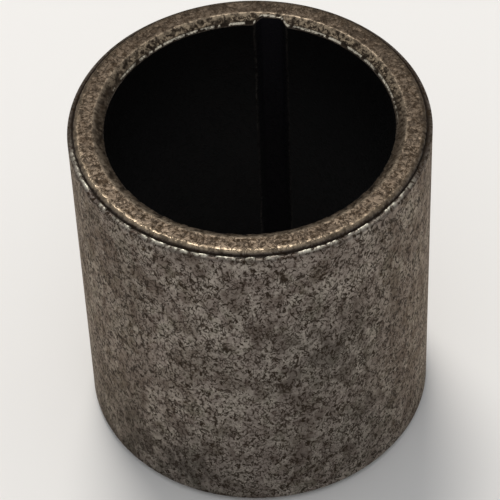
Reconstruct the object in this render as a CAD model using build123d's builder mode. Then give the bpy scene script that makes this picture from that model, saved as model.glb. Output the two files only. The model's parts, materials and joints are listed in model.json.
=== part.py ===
from build123d import *
import os

# Plain sleeve bearing pressed from bronze powder and sintered: one wall, no flange, no liner.
# The axis is +Z and the origin is the centre of the lower end. All sizes are in millimetres.

# Driving dimensions
bore_diameter = 19.05
outside_diameter = 23.8125
length = 25.4

# Break at each end of the bore
bore_chamfer_width = 0.68
bore_chamfer_height = 0.49

# Step round the outside of each end: a narrow flat left by the punch, then a steep tapered shoulder
step_flat_width = 0.30
step_height = 0.46
shoulder_taper_width = 0.20
shoulder_edge_radius = 0.12

# Axial oil groove in the bore, on the +Y side, open at both ends
groove_mouth_width = 2.40
groove_floor_width = 1.20
groove_depth = 0.42
groove_corner_radius = 0.15

# Worked out from the above
bore_radius = bore_diameter / 2
outside_radius = outside_diameter / 2
shoulder_foot_radius = outside_radius - step_flat_width
end_face_outer_radius = shoulder_foot_radius - shoulder_taper_width
end_face_inner_radius = bore_radius + bore_chamfer_width
groove_mouth_y = (bore_radius**2 - (groove_mouth_width / 2) ** 2) ** 0.5
groove_floor_y = bore_radius + groove_depth
groove_start_y = bore_radius / 2

os.makedirs("parts", exist_ok=True)

with BuildPart() as sleeve:
    # Half section of the wall, turned about the axis
    with BuildSketch(Plane.XZ) as wall_section:
        with BuildLine():
            Polyline(
                (bore_radius, bore_chamfer_height),
                (end_face_inner_radius, 0),
                (end_face_outer_radius, 0),
                (shoulder_foot_radius, step_height),
                (outside_radius, step_height),
                (outside_radius, length - step_height),
                (shoulder_foot_radius, length - step_height),
                (end_face_outer_radius, length),
                (end_face_inner_radius, length),
                (bore_radius, length - bore_chamfer_height),
                close=True,
            )
        make_face()
        shoulder_edges = [
            corner
            for corner in wall_section.vertices()
            if abs(corner.X - end_face_outer_radius) < shoulder_edge_radius / 10
        ]
        fillet(shoulder_edges, radius=shoulder_edge_radius)
    revolve(axis=Axis.Z)

    # Oil groove: flat floor, sloping flanks, cut from inside the bore out to its floor
    with BuildSketch(Plane.XY) as groove_section:
        with BuildLine():
            Polyline(
                (-groove_mouth_width / 2, groove_start_y),
                (-groove_mouth_width / 2, groove_mouth_y),
                (-groove_floor_width / 2, groove_floor_y),
                (groove_floor_width / 2, groove_floor_y),
                (groove_mouth_width / 2, groove_mouth_y),
                (groove_mouth_width / 2, groove_start_y),
                close=True,
            )
        make_face()
        fillet(groove_section.vertices().group_by(Axis.Y)[-1], radius=groove_corner_radius)
    extrude(amount=length, mode=Mode.SUBTRACT)

sleeve.part.label = "sleeve"
export_step(sleeve.part, "parts/sleeve.step")
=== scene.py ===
import json
import math

import bpy
import numpy as np
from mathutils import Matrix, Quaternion, Vector, noise


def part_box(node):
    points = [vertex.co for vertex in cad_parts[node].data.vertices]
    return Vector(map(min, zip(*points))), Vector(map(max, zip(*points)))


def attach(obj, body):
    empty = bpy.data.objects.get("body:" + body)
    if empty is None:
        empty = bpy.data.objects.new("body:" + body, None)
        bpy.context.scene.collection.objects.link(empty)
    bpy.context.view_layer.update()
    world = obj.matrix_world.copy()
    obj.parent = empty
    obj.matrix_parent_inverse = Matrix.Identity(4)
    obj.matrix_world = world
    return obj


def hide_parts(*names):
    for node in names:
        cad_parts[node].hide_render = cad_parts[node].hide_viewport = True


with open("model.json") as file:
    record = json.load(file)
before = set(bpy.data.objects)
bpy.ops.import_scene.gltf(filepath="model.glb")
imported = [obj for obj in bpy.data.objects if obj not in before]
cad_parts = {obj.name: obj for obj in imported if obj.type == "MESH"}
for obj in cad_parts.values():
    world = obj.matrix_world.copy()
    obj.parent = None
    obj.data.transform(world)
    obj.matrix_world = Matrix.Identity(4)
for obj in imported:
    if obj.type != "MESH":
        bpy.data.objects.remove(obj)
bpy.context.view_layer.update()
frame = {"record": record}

# Sizes are worked out in millimetres and scaled to metres when a mesh or a place is made.
MM = 0.001

# Sizes that the frame gives
mounts = {mount["name"]: mount for mount in frame["record"]["mounts"]}
lowest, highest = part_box("sleeve")
LENGTH = (highest.z - lowest.z) / MM
MIDDLE = LENGTH / 2
BORE_RADIUS = mounts["bore"]["dims"]["r_mm"]
OUTSIDE_RADIUS = mounts["outside_diameter"]["dims"]["r_mm"]
CHAMFER_HEIGHT = (LENGTH - mounts["bore"]["dims"]["length_mm"]) / 2

# The rest of the section, as the CAD part has it
CHAMFER_WIDTH = 0.68
STEP_FLAT_WIDTH = 0.30
SHOULDER_TAPER_WIDTH = 0.20
GROOVE_MOUTH_WIDTH = 2.40
GROOVE_FLOOR_WIDTH = 1.20
GROOVE_DEPTH = 0.42

# Worn outer edge, all round both ends: how far in from the wall, and how far below the end face
SHOULDER_ROUNDING = 0.30
SHOULDER_WORN_OUT = 0.11
STEP_POINTS = [(0.385, 0.26), (0.365, 0.34), (0.335, 0.385), (0.31, 0.35)]
BURR_POINTS = [(0.285, 0.305), (0.25, 0.30), (0.19, 0.33), (0.12, 0.40)]
CREASE_POINTS = [(0.07, 0.44), (0.035, 0.475), (0.0, 0.53)]

# How finely the visual mesh is divided
SEGMENTS = 720
CHAMFER_SPACING = 0.08
LAND_SPACING = 0.09
EDGE_SPACING = 0.07
NEAR_AN_END = [0.04, 0.12, 0.30, 0.70]
BETWEEN_STARTS = 1.4
ROWS_BETWEEN = 17

# How far grain and chips move the surface, in millimetres: coarse grain, fine grain, chips
CHAMFER_RELIEF = (0.026, 0.016, 0.075)
EDGE_RELIEF = (0.022, 0.016, 0.028)
LAND_RELIEF = (0.008, 0.007, 0.016)

# How far other wear moves it, in millimetres
GROOVE_WANDER = 0.05
BURR_RAGGEDNESS = 0.050
BURR_GRAIN = 0.010
BURR_GAP_DEPTH = 0.085
CREASE_FILL = 0.075
WALL_SWELL = 0.008

# Oil stains on the outside wall, the low one at 243 degrees being painted shade that darkens its
# bottom: azimuth in degrees from +Y towards +X, height, reach, strength
STAINS_AND_SHADE = [
    (200, 2.4, 3.8, 0.9),
    (221, 2.6, 4.6, 1.0),
    (243, 1.0, 4.8, 0.9),
    (134, 6.0, 3.4, 0.6),
    (147, 14.5, 5.0, 0.7),
]

# The shoulder's painted highlight is brightest on this side, an azimuth like those of the stains
SHOULDER_HIGHLIGHT_AZIMUTH = 200

# No vertex comes closer than this to the CAD part's outside radius
BOX_MARGIN = 0.006

# The grain pattern is scaled by these across the axis and along it, so its marks are longer along it
GRAIN_SCALE_ACROSS = 1.16
GRAIN_SCALE_ALONG = 0.84

# The photograph's view: azimuth from -Y towards +X and angles in degrees, sizes in millimetres
CAMERA_AIM = (-0.33, -0.06, 12.83)
CAMERA_AZIMUTH = 10.27
CAMERA_ELEVATION = 48.10
CAMERA_ROLL = -2.54
CAMERA_DISTANCE = 188.1
CAMERA_LENS = 198.06
CAMERA_SENSOR_WIDTH = 36.0


# ---------------------------------------------------------------- section

def smoothstep(low, high, value):
    t = np.clip((value - low) / (high - low), 0.0, 1.0)
    return t * t * (3 - 2 * t)


def run(points, spacing, zone):
    """Stations along joined straight lines of the section, without the last point."""
    stations = []
    for start, end in zip(points, points[1:]):
        count = max(1, round(math.dist(start, end) / spacing))
        for step in range(count):
            share = step / count
            r = start[0] + (end[0] - start[0]) * share
            z = start[1] + (end[1] - start[1]) * share
            stations.append(dict(r=r, z=z, share=share, zone=zone))
    return stations


def from_corner(points):
    """Points given as distances in from the wall and down from the upper face."""
    return [(OUTSIDE_RADIUS - inward, LENGTH - down) for inward, down in points]


def shoulder_points():
    """The rounded outer edge of the end face."""
    edge = OUTSIDE_RADIUS - STEP_FLAT_WIDTH - SHOULDER_TAPER_WIDTH
    centre = (edge + SHOULDER_WORN_OUT - SHOULDER_ROUNDING, LENGTH - SHOULDER_ROUNDING)
    points = []
    for degrees in (90, 76, 62, 48, 34, 20):
        angle = math.radians(degrees)
        r = centre[0] + SHOULDER_ROUNDING * math.cos(angle)
        z = centre[1] + SHOULDER_ROUNDING * math.sin(angle)
        points.append((r, z))
    return points


def upper_end():
    """Stations from the bore's upper edge, over the end face, to the top of the outside wall."""
    bore_edge = (BORE_RADIUS, LENGTH - CHAMFER_HEIGHT)
    crest = (BORE_RADIUS + CHAMFER_WIDTH, LENGTH)
    shoulder = shoulder_points()
    step = from_corner(STEP_POINTS)
    burr = from_corner(BURR_POINTS)
    crease = from_corner(CREASE_POINTS)
    stations = run([bore_edge, crest], CHAMFER_SPACING, "chamfer")
    stations += run([crest, shoulder[0]], LAND_SPACING, "land")
    stations += run(shoulder, EDGE_SPACING, "shoulder")
    stations += run([shoulder[-1]] + step, EDGE_SPACING, "step")
    stations += run([step[-1]] + burr, EDGE_SPACING, "burr")
    stations += run([burr[-1]] + crease, EDGE_SPACING, "crease")
    return stations


def long_wall(r, low, high, zone):
    """Stations up a long straight wall: close together at both ends, far apart between."""
    heights = [low + gap for gap in NEAR_AN_END]
    heights += list(np.linspace(low + BETWEEN_STARTS, high - BETWEEN_STARTS, ROWS_BETWEEN))
    heights += [high - gap for gap in reversed(NEAR_AN_END)]
    return [dict(r=r, z=z, share=0.0, zone=zone) for z in heights]


def section():
    """The closed section: up the bore, over the upper end, down the outside, under the lower end."""
    upper = upper_end()
    lower = [dict(station, z=LENGTH - station["z"]) for station in reversed(upper)]
    bore = long_wall(BORE_RADIUS, CHAMFER_HEIGHT, LENGTH - CHAMFER_HEIGHT, "bore")
    first_row = CREASE_POINTS[-1][1]
    low = first_row - NEAR_AN_END[0]
    wall = long_wall(OUTSIDE_RADIUS, low, LENGTH - first_row + NEAR_AN_END[0], "wall")
    return bore + upper + list(reversed(wall)) + lower


# ---------------------------------------------------------------- mesh

def field(points, octaves=1):
    """Smooth noise from about -1 to 1 at each point, the same every run."""
    flat = points.reshape(-1, 3)
    if octaves == 1:
        values = [noise.noise(p) for p in flat.tolist()]
    else:
        values = [noise.fractal(p, 1.0, 2.1, octaves) for p in flat.tolist()]
    return np.array(values).reshape(points.shape[:-1])


def soften(values):
    """Spreads a mask of stations a little into its neighbours."""
    return 0.25 * np.roll(values, 1, 0) + 0.5 * values + 0.25 * np.roll(values, -1, 0)


def groove_share(theta, z):
    """1 on the oil groove's floor, 0 away from it. The groove's edges wander a little."""
    lateral = np.abs(theta) * (BORE_RADIUS + GROOVE_DEPTH / 2)
    wander = GROOVE_WANDER * field(np.stack([np.sign(theta) * 7, z * 0.9, z * 0], -1))
    flank = (GROOVE_MOUTH_WIDTH - GROOVE_FLOOR_WIDTH) / 2
    return np.clip((GROOVE_MOUTH_WIDTH / 2 + wander - lateral) / flank, 0, 1)


def cut_groove(r, z, zones, share, depth):
    """Moves the bore wall out to the groove's floor; the chamfer then starts from there."""
    r = r + zones["bore"] * depth + zones["chamfer"] * (1 - share) * depth
    chamfer_z = CHAMFER_HEIGHT * (1 - (r - BORE_RADIUS) / CHAMFER_WIDTH)
    chamfer_z = np.where(z > MIDDLE, LENGTH - chamfer_z, chamfer_z)
    z = np.where(zones["chamfer"] > 0, chamfer_z, z)
    half_bore = MIDDLE - CHAMFER_HEIGHT
    stretch = 1 + depth * CHAMFER_HEIGHT / CHAMFER_WIDTH / half_bore
    z = np.where(zones["bore"] > 0, MIDDLE + (z - MIDDLE) * stretch, z)
    return r, z


def stain_and_shade_strength(theta, z):
    """How strongly the outside wall is stained, and darkened by painted shade near its bottom, at each
    place.
    """
    total = np.zeros_like(z)
    for azimuth, height, reach, strength in STAINS_AND_SHADE:
        turn = np.remainder(theta - math.radians(azimuth) + math.pi, 2 * math.pi) - math.pi
        away = np.hypot(turn * OUTSIDE_RADIUS, z - height) / reach
        total = np.maximum(total, strength * np.exp(-(away ** 2)))
    return total


def surface_normals(places):
    along = np.roll(places, -1, 0) - np.roll(places, 1, 0)
    around = np.roll(places, -1, 1) - np.roll(places, 1, 1)
    normals = np.cross(around, along)
    return normals / np.linalg.norm(normals, axis=-1, keepdims=True)


class Grid:
    """The sleeve before wear, with its oil groove, as arrays of stations by segments."""

    def __init__(self):
        stations = section()
        theta = (np.arange(SEGMENTS) + 0.5) * 2 * math.pi / SEGMENTS
        theta = (theta + math.pi) % (2 * math.pi) - math.pi
        r = np.array([station["r"] for station in stations])[:, None] + np.zeros(SEGMENTS)
        z = np.array([station["z"] for station in stations])[:, None] + np.zeros(SEGMENTS)
        zone = np.array([station["zone"] for station in stations])
        self.theta = np.zeros_like(r) + theta
        self.share = np.array([station["share"] for station in stations])[:, None]
        self.zones = {name: (zone == name).astype(float)[:, None] for name in dict.fromkeys(zone)}
        self.in_groove = groove_share(self.theta, z)
        self.depth = GROOVE_DEPTH * (0.5 * self.in_groove + 0.5 * smoothstep(0, 1, self.in_groove))
        self.r, self.z = cut_groove(r, z, self.zones, self.share, self.depth)
        self.places = np.stack([self.r * np.sin(self.theta), self.r * np.cos(self.theta), self.z], -1)
        self.burred_side = smoothstep(0.1, 0.6, -np.cos(self.theta))
        self.edge = soften(self.zones["shoulder"] + self.zones["step"])
        self.burr = soften(self.zones["burr"])
        self.chamfer = self.zones["chamfer"] * (1 - 0.7 * self.share)


def wear_patterns(places):
    """Noise that the relief and the masks share, so that hollows and dark marks fall together."""
    flat_places = places * np.array([1.0, 1.0, 0.0])
    return {
        "coarse": field(places * 2.6, 3),
        "fine": field(places * 5.5 + 11.0),
        "swell": field(places * np.array([0.35, 0.35, 0.12]) + 31.0, 2),
        "chips": smoothstep(0.12, 0.42, field(places * 2.3 + 57.0, 2)),
        "ragged": field(flat_places * 4.2 + 3.3, 3),
        "gap": smoothstep(-0.05, 0.30, field(flat_places * 0.95 + 19.1, 2)),
    }


def grain_relief(patterns, amounts):
    coarse, fine, chips = amounts
    return coarse * patterns["coarse"] + fine * patterns["fine"] - chips * patterns["chips"]


def relief(grid, patterns):
    """How far wear moves each vertex out along its normal."""
    zones = grid.zones
    lift = grid.chamfer * grain_relief(patterns, CHAMFER_RELIEF)
    lift += grid.edge * grain_relief(patterns, EDGE_RELIEF)
    lift += zones["land"] * grain_relief(patterns, LAND_RELIEF)
    ragged = BURR_RAGGEDNESS * patterns["ragged"] * grid.burred_side
    lift += grid.burr * (ragged + BURR_GRAIN * patterns["fine"])
    lift -= grid.burr * BURR_GAP_DEPTH * patterns["gap"] * grid.burred_side
    whole_corner = 1 - 0.65 * smoothstep(0.5, 0.85, np.cos(grid.theta))
    lift += zones["crease"] * CREASE_FILL * whole_corner * (1 - grid.burred_side)
    lift += (zones["wall"] + zones["bore"]) * (WALL_SWELL * patterns["swell"] - WALL_SWELL)
    return lift


def worn_places(grid, patterns):
    """The vertices after wear, kept inside the CAD part's box."""
    places = grid.places + surface_normals(grid.places) * relief(grid, patterns)[..., None]
    radius = np.hypot(places[..., 0], places[..., 1])
    places[..., :2] *= np.minimum(1.0, (OUTSIDE_RADIUS - BOX_MARGIN) / radius)[..., None]
    places[..., 2] = np.clip(places[..., 2], 0.0, LENGTH)
    return places


def chamfer_masks(grid, chips):
    """Marks of the bore chamfer, its crest and the bore's edge: painted shade darker down towards the
    bore, rubbed crest and edge with painted highlights, and painted golden glints on the back.
    """
    zones = grid.zones
    share = grid.share
    cosine = np.cos(grid.theta)
    # Painted highlights on the bore's edge and chamfer are strongest at the back
    rubbed_and_lit_side = 0.30 + 0.70 * smoothstep(-0.35, 0.8, cosine)
    crest_width = 0.24 + 0.34 * smoothstep(0.0, 0.8, -cosine)
    # Crest of the chamfer, rubbed and with a painted highlight, widest at the front
    crest = zones["chamfer"] * np.exp(-((1 - share) / crest_width) ** 2)
    crest += zones["land"] * np.exp(-((share / 0.10) ** 2))
    bore_edge = np.exp(-((grid.r - BORE_RADIUS - grid.depth - 0.12) / 0.09) ** 2) * zones["chamfer"]
    # Painted golden glints and painted shade between them, on the upper chamfer at the back
    flecked = zones["chamfer"] * smoothstep(0.25, 0.45, share) * smoothstep(0.0, 0.5, cosine)
    return {
        "chamfer": zones["chamfer"] * (1 - share),
        "crest": crest * (1 - 0.6 * chips) * (0.62 + 0.38 * cosine ** 2),
        "edge": bore_edge * rubbed_and_lit_side * (1 - chips),
        "flecked": flecked * rubbed_and_lit_side * (1 - 0.5 * chips),
    }


def outer_edge_masks(grid, patterns):
    """The land, the shoulder's painted highlight and the dark step, and the burr's painted glint at the
    front of the upper end.
    """
    zones = grid.zones
    upper = (grid.z > MIDDLE).astype(float)
    # Side where the shoulder's painted highlight is strongest
    highlit_side = smoothstep(-0.2, 0.9, np.cos(grid.theta - math.radians(SHOULDER_HIGHLIGHT_AZIMUTH)))
    standing = (1 - patterns["gap"]) * grid.burred_side
    plain_burr = zones["burr"] * (1 - grid.burred_side)
    return {
        "land": soften(zones["land"] + zones["shoulder"] + zones["chamfer"]),
        "shoulder": soften(zones["shoulder"]) * (0.15 + 0.85 * highlit_side),
        "step": soften(zones["step"] + 0.5 * zones["crease"] + plain_burr),
        # Painted glint on the standing burr at the front of the upper end
        "burr": grid.burr * standing * smoothstep(-0.25, 0.30, patterns["ragged"]) * upper,
    }


def bore_and_wall_masks(grid, patterns):
    """The bore, its groove, and for the rest: painted shade towards the back of the end faces, chips,
    and oil stains with painted shade low on the outside wall.
    """
    zones = grid.zones
    chips = patterns["chips"]
    # At the groove's rims less bore colour is laid on, so lighter bronze shows: a painted highlight
    # along the groove's edges
    groove_rim = np.exp(-((grid.in_groove - 0.16) / 0.06) ** 2) * zones["bore"]
    # Painted shade: the end faces and chamfers darker towards the back
    back_shading = 0.5 + 0.5 * np.cos(grid.theta) + 0.25 * patterns["swell"]
    return {
        "bore": zones["bore"] * (1 - 0.35 * groove_rim),
        "groove": grid.in_groove * zones["bore"],
        # painted shade: the bore is darker near its upper end
        "deep": smoothstep(0.0, 0.6, 1 - grid.z / LENGTH) * zones["bore"],
        # oil stains, and painted shade where one darkens the wall's bottom
        "oil": stain_and_shade_strength(grid.theta, grid.z) * zones["wall"],
        "soil": back_shading * (1 - zones["wall"]) * (1 - zones["bore"]),
        "chips": chips * (grid.chamfer + 0.35 * zones["land"] + 0.5 * grid.edge),
    }


def make_sleeve():
    """The sleeve as one closed mesh, a grid that closes both ways."""
    grid = Grid()
    patterns = wear_patterns(grid.places)
    places = worn_places(grid, patterns)
    masks = {
        **chamfer_masks(grid, patterns["chips"]),
        **outer_edge_masks(grid, patterns),
        **bore_and_wall_masks(grid, patterns),
    }
    rows, columns = places.shape[:2]
    index = np.arange(rows * columns).reshape(rows, columns)
    right = np.roll(index, -1, 1)
    up = np.roll(index, -1, 0)
    both = np.roll(right, -1, 0)
    faces = np.stack([index, right, both, up], -1).reshape(-1, 4)
    mesh = bpy.data.meshes.new("sintered_sleeve")
    mesh.from_pydata((places.reshape(-1, 3) * MM).tolist(), [], faces.tolist())
    for name, values in masks.items():
        layer = mesh.attributes.new(name, "FLOAT", "POINT")
        full = np.broadcast_to(np.clip(values, 0, 1), (rows, columns)).astype(np.float32)
        layer.data.foreach_set("value", full.ravel())
    mesh.polygons.foreach_set("use_smooth", [True] * len(mesh.polygons))
    mesh.update()
    piece = bpy.data.objects.new("sintered_sleeve", mesh)
    bpy.context.scene.collection.objects.link(piece)
    return piece


# ---------------------------------------------------------------- materials

class Nodes:
    """Short ways to add and join the nodes of one material."""

    def __init__(self, name):
        self.material = bpy.data.materials.new(name)
        self.material.use_nodes = True
        self.tree = self.material.node_tree
        self.tree.nodes.clear()

    def add(self, kind, inputs=(), **settings):
        made = self.tree.nodes.new(kind)
        for key, value in settings.items():
            setattr(made, key, value)
        for socket, value in dict(inputs).items():
            self.set(made.inputs[socket], value)
        return made

    def set(self, socket, value):
        if isinstance(value, bpy.types.NodeSocket):
            self.tree.links.new(value, socket)
        else:
            socket.default_value = value

    def math(self, operation, a, b=0.0, clamp=False):
        made = self.add("ShaderNodeMath", operation=operation, use_clamp=clamp)
        self.set(made.inputs[0], a)
        self.set(made.inputs[1], b)
        return made.outputs[0]

    def times(self, a, b):
        return self.math("MULTIPLY", a, b)

    def add_share(self, total, value, share, clamp=False):
        """The total with a share of another value added to it."""
        return self.math("ADD", total, self.times(value, share), clamp)

    def band(self, value, low, high, to_low=0.0, to_high=1.0):
        """A smooth step between two levels of the value."""
        made = self.add("ShaderNodeMapRange", interpolation_type="SMOOTHSTEP")
        for socket, number in zip(made.inputs, (value, low, high, to_low, to_high)):
            self.set(socket, number)
        return made.outputs[0]

    def mix(self, share, a, b):
        made = self.add("ShaderNodeMix", data_type="RGBA")
        self.set(made.inputs[0], share)
        self.set(made.inputs[6], a)
        self.set(made.inputs[7], b)
        return made.outputs[2]

    def attribute(self, name):
        return self.add("ShaderNodeAttribute", attribute_name=name).outputs["Fac"]

    def noise(self, place, scale, detail, roughness, distortion):
        made = self.add("ShaderNodeTexNoise", {"Vector": place, "Scale": scale})
        self.set(made.inputs["Detail"], detail)
        self.set(made.inputs["Roughness"], roughness)
        self.set(made.inputs["Distortion"], distortion)
        return made.outputs["Fac"]

    def worms(self, place, scale, width):
        """Thin wandering lines, 1 on the line and 0 away from it."""
        level = self.noise(place, scale, 1.0, 0.5, 0.4)
        away = self.math("ABSOLUTE", self.math("SUBTRACT", level, 0.5))
        return self.band(away, 0.0, width, 1.0, 0.0)

    def finish(self, inputs):
        shader = self.add("ShaderNodeBsdfPrincipled", inputs)
        output = self.add("ShaderNodeOutputMaterial")
        self.tree.links.new(shader.outputs[0], output.inputs[0])
        return self.material


def colour(r, g, b):
    return (r, g, b, 1.0)


DARK_GRAIN = colour(0.034, 0.023, 0.014)
WALL_GRAIN = colour(0.312, 0.278, 0.243)
WALL_SPECKLE = colour(0.46, 0.415, 0.365)
DARK_PATCH = colour(0.070, 0.050, 0.036)
RED_TINGE = colour(0.135, 0.102, 0.096)
GREEN_TINGE = colour(0.150, 0.148, 0.112)
WALL_STAIN = colour(0.085, 0.066, 0.056)
# Blue-grey of the oil stains, also painted shade low on the wall
OIL_AND_SHADE = colour(0.050, 0.050, 0.046)
LAND_GRAIN = colour(0.152, 0.120, 0.091)
LAND_STAIN = colour(0.050, 0.036, 0.026)
# Painted highlight on the shoulder
SHOULDER_HIGHLIGHT = colour(0.32, 0.26, 0.19)
# Painted shade towards the back of the end faces
BACK_SHADE = colour(0.032, 0.024, 0.018)
CHAMFER_SHADE = colour(0.026, 0.021, 0.016)
STEP_SHADE = colour(0.022, 0.017, 0.014)
OPEN_PORE = colour(0.016, 0.009, 0.004)
# Painted glint on the burr
BURR_GLINT = colour(0.72, 0.70, 0.60)
# Rubbed crest with a painted highlight
WORN_CREST_HIGHLIGHT = colour(0.25, 0.205, 0.155)
# Painted golden glints on the chamfer's grains, and painted shade between them
GOLDEN_GLINT = colour(0.26, 0.21, 0.15)
SHADE_BETWEEN_GLINTS = colour(0.014, 0.010, 0.007)
# Rubbed bore edge with a painted highlight
RUBBED_EDGE_HIGHLIGHT = colour(0.46, 0.43, 0.36)
CHIP_SHADE = colour(0.012, 0.009, 0.007)
# Painted shade inside the bore, darkest near its upper end
BORE_NEAR_TOP = colour(0.003, 0.003, 0.0033)
BORE_DEEP = colour(0.020, 0.020, 0.021)
GROOVE_SHADE = colour(0.0070, 0.0066, 0.0090)
SHINE = colour(0.61, 0.50, 0.38)
PALE = colour(0.80, 0.80, 0.80)
WHITE = colour(1.0, 1.0, 1.0)


def powder_patterns(n):
    """Patterns in the part's own millimetres, from single grains up to broad stains."""
    metres = n.add("ShaderNodeTexCoord").outputs["Object"]
    scales = (GRAIN_SCALE_ACROSS / MM, GRAIN_SCALE_ACROSS / MM, GRAIN_SCALE_ALONG / MM)
    place = n.add("ShaderNodeVectorMath", {0: metres, 1: scales}, operation="MULTIPLY").outputs[0]
    broken = n.band(n.noise(place, scale=1.5, detail=1.0, roughness=0.5, distortion=0.0), 0.40, 0.52)
    crevices = n.times(n.worms(place, 1.9, 0.066), broken)
    pores = n.band(n.noise(place, scale=3.2, detail=1.0, roughness=0.5, distortion=1.4), 0.59, 0.66)
    return {
        "grain": n.noise(place, scale=3.4, detail=3.0, roughness=0.62, distortion=0.5),
        "speckle": n.noise(place, scale=6.5, detail=2.0, roughness=0.5, distortion=0.2),
        "stain": n.noise(place, scale=0.30, detail=3.0, roughness=0.6, distortion=0.3),
        "uneven": n.noise(place, scale=0.75, detail=3.0, roughness=0.6, distortion=0.5),
        "tinge": n.noise(place, scale=0.55, detail=2.0, roughness=0.6, distortion=1.0),
        "holes": n.math("MAXIMUM", crevices, pores),
    }


def wall_colour(n, patterns):
    """Outside wall: grey-brown grains, with brown and blue-grey stains, and painted shade in the same
    blue-grey low on the wall.
    """
    uneven = patterns["uneven"]
    tinge = patterns["tinge"]
    # Oil stains, partly painted shade near the wall's bottom
    oil = n.times(n.attribute("oil"), n.band(uneven, 0.36, 0.56, 0.35, 1.0))
    wall = n.mix(n.band(patterns["grain"], 0.36, 0.54), DARK_GRAIN, WALL_GRAIN)
    wall = n.mix(n.band(patterns["speckle"], 0.47, 0.62, 0.0, 0.50), wall, WALL_SPECKLE)
    wall = n.mix(n.band(uneven, 0.46, 0.62, 0.0, 0.54), wall, DARK_PATCH)
    wall = n.mix(n.band(tinge, 0.44, 0.58, 0.0, 0.35), wall, RED_TINGE)
    wall = n.mix(n.band(tinge, 0.30, 0.44, 0.28, 0.0), wall, GREEN_TINGE)
    wall = n.mix(n.band(patterns["stain"], 0.44, 0.64, 0.0, 0.40), wall, WALL_STAIN)
    return n.mix(n.times(oil, 0.66), wall, OIL_AND_SHADE)


def land_colour(n, patterns):
    """End face and inner chamfer: golden brown, darker down towards the bore."""
    land = n.mix(n.band(patterns["grain"], 0.36, 0.60), DARK_GRAIN, LAND_GRAIN)
    land = n.mix(n.band(patterns["stain"], 0.42, 0.66, 0.0, 0.35), land, LAND_STAIN)
    # Painted highlight on the shoulder, strongest at the front left
    land = n.mix(n.times(n.attribute("shoulder"), 0.70), land, SHOULDER_HIGHLIGHT)
    # Painted shade towards the back
    land = n.mix(n.times(n.attribute("soil"), 0.62), land, BACK_SHADE)
    flecks = n.band(patterns["speckle"], 0.46, 0.56, 0.95, 0.35)
    return n.mix(n.times(n.attribute("chamfer"), flecks), land, CHAMFER_SHADE)


def mark_edges(n, patterns, base):
    """Dark step and pores, the burr's painted glint, the worn crest's painted highlight, the chamfer's
    painted golden glints and the rubbed bore edge's painted highlight, over the base colour.
    """
    grain = patterns["grain"]
    base = n.mix(n.attribute("step"), base, STEP_SHADE)
    pitted = n.times(patterns["holes"], n.band(n.attribute("land"), 0.0, 1.0, 0.95, 0.50))
    base = n.mix(pitted, base, OPEN_PORE)
    # Painted glint on the burr's crest
    base = n.mix(n.attribute("burr"), base, BURR_GLINT)
    # Rubbed crest of the chamfer with a painted highlight
    crest_highlight = n.times(n.attribute("crest"), n.band(grain, 0.36, 0.54, 0.35, 0.85))
    base = n.mix(crest_highlight, base, WORN_CREST_HIGHLIGHT)
    # Painted golden glints and painted shade between them on the chamfer's back
    golden_glints = n.times(n.attribute("flecked"), n.band(grain, 0.46, 0.56, 0.0, 0.9))
    base = n.mix(golden_glints, base, GOLDEN_GLINT)
    shade_between_glints = n.times(n.attribute("flecked"), n.band(grain, 0.36, 0.46, 0.85, 0.0))
    base = n.mix(shade_between_glints, base, SHADE_BETWEEN_GLINTS)
    # Rubbed bore edge with a painted highlight, broken up by speckle
    bare = n.band(patterns["speckle"], 0.42, 0.50, 0.30, 1.0)
    edge_highlight = n.times(n.band(n.attribute("edge"), 0.45, 0.80), bare)
    base = n.mix(edge_highlight, base, RUBBED_EDGE_HIGHLIGHT)
    return n.mix(n.attribute("chips"), base, CHIP_SHADE)


# Painted shade: the bore nearly black, darkest near its upper end and lighter deeper down, the groove's
# floor darker still
def bore_colour(n):
    inside = n.mix(n.attribute("deep"), BORE_NEAR_TOP, BORE_DEEP)
    return n.mix(n.attribute("groove"), inside, GROOVE_SHADE)


def bronze_roughness(n, patterns):
    roughness = n.band(patterns["grain"], 0.3, 0.7, 0.58, 0.44)
    roughness = n.add_share(roughness, n.attribute("step"), 0.18)
    roughness = n.add_share(roughness, n.attribute("shoulder"), -0.13)
    roughness = n.add_share(roughness, n.attribute("land"), -0.06)
    roughness = n.add_share(roughness, n.attribute("burr"), -0.14)
    return n.add_share(roughness, patterns["holes"], 0.20, clamp=True)


def bronze_metal(n, patterns):
    """Less metallic in the pores, in the dark step and in the oily bore."""
    metal = n.math("SUBTRACT", 0.75, n.times(patterns["holes"], 0.5))
    metal = n.add_share(metal, n.attribute("step"), -0.35)
    return n.add_share(metal, n.attribute("bore"), -0.75, clamp=True)


def grain_bump(n, patterns):
    height = n.add_share(n.times(patterns["grain"], 0.6), patterns["speckle"], 0.3)
    height = n.add_share(height, patterns["holes"], -0.9)
    height = n.times(height, n.band(n.attribute("land"), 0.0, 1.0, 1.0, 0.62))
    bump = n.add("ShaderNodeBump", {"Strength": 0.7, "Distance": 0.03 * MM, "Height": height})
    return bump.outputs[0]


def sintered_bronze():
    """Pressed bronze powder, oily and dull: fused grains, open pores, stains, rubbed edges brightened
    by painted highlights and glints, and painted shade in the bore, towards the back and low on the
    wall.
    """
    n = Nodes("sintered_bronze")
    patterns = powder_patterns(n)
    base = n.mix(n.attribute("land"), wall_colour(n, patterns), land_colour(n, patterns))
    base = mark_edges(n, patterns, base)
    base = n.mix(n.attribute("bore"), base, bore_colour(n))
    return n.finish({
        "Base Color": base,
        "Metallic": bronze_metal(n, patterns),
        "Roughness": bronze_roughness(n, patterns),
        "Specular IOR Level": n.band(n.attribute("bore"), 0.0, 1.0, 0.25, 0.10),
        "Specular Tint": SHINE,
        "Normal": grain_bump(n, patterns),
    })


def pale_floor():
    return Nodes("pale_floor").finish({"Base Color": PALE, "Roughness": 0.8})


# ---------------------------------------------------------------- stage, lights, camera

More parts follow.
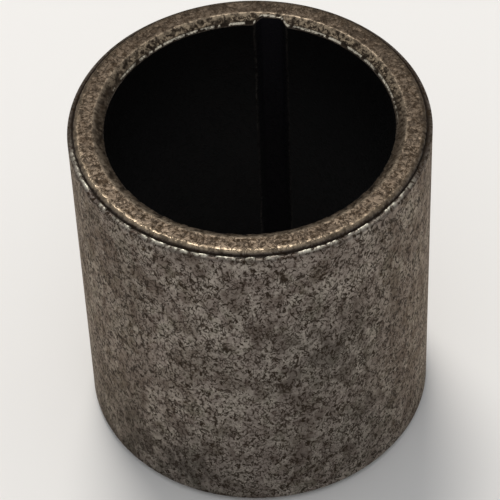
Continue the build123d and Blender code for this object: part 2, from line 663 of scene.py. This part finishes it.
def make_floor():
    mesh = bpy.data.meshes.new("floor")
    half = 3.0
    corners = [(-half, -half, 0), (half, -half, 0), (half, half, 0), (-half, half, 0)]
    mesh.from_pydata(corners, [], [(0, 1, 2, 3)])
    mesh.materials.append(pale_floor())
    floor = bpy.data.objects.new("floor", mesh)
    bpy.context.scene.collection.objects.link(floor)


def direction(azimuth, elevation):
    """Unit vector towards a place seen from the part: azimuth 0 is -Y, 90 is +X."""
    a = math.radians(azimuth)
    e = math.radians(elevation)
    return Vector((math.sin(a) * math.cos(e), -math.cos(a) * math.cos(e), math.sin(e)))


def add_light(name, azimuth, elevation, distance, size, power, tint=(1, 1, 1)):
    """A round soft light, aimed at the part."""
    data = bpy.data.lights.new(name, "AREA")
    data.shape = "DISK"
    data.size = size
    data.energy = power
    data.color = tint
    lamp = bpy.data.objects.new(name, data)
    aim = direction(azimuth, elevation)
    lamp.location = aim * distance
    lamp.rotation_euler = aim.to_track_quat("Z", "Y").to_euler()
    bpy.context.scene.collection.objects.link(lamp)


def make_lights():
    world = bpy.data.worlds.new("studio")
    world.use_nodes = True
    background = world.node_tree.nodes["Background"]
    background.inputs["Color"].default_value = WHITE
    background.inputs["Strength"].default_value = 0.50
    bpy.context.scene.world = world
    warm = (1.0, 0.95, 0.88)
    add_light("key", azimuth=203, elevation=66, distance=0.60, size=0.20, power=2.1, tint=warm)
    add_light("fill", azimuth=5, elevation=62, distance=0.80, size=0.50, power=0.5)


def make_camera():
    """Near the part and looking down into the bore, as the photograph was taken."""
    aim = Vector(CAMERA_AIM) * MM
    back = direction(CAMERA_AZIMUTH, CAMERA_ELEVATION)
    data = bpy.data.cameras.new("camera")
    data.sensor_width = CAMERA_SENSOR_WIDTH
    data.lens = CAMERA_LENS
    data.clip_start = 0.01
    camera = bpy.data.objects.new("camera", data)
    camera.location = aim + back * CAMERA_DISTANCE * MM
    roll = Quaternion((0, 0, 1), math.radians(CAMERA_ROLL))
    camera.rotation_mode = "QUATERNION"
    camera.rotation_quaternion = back.to_track_quat("Z", "Y") @ roll
    bpy.context.scene.collection.objects.link(camera)
    bpy.context.scene.camera = camera


# ---------------------------------------------------------------- the part

make_camera()
make_lights()
make_floor()

sleeve = make_sleeve()
sleeve.data.materials.append(sintered_bronze())
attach(sleeve, "root")
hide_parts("sleeve")

bpy.context.scene.view_settings.view_transform = "Standard"
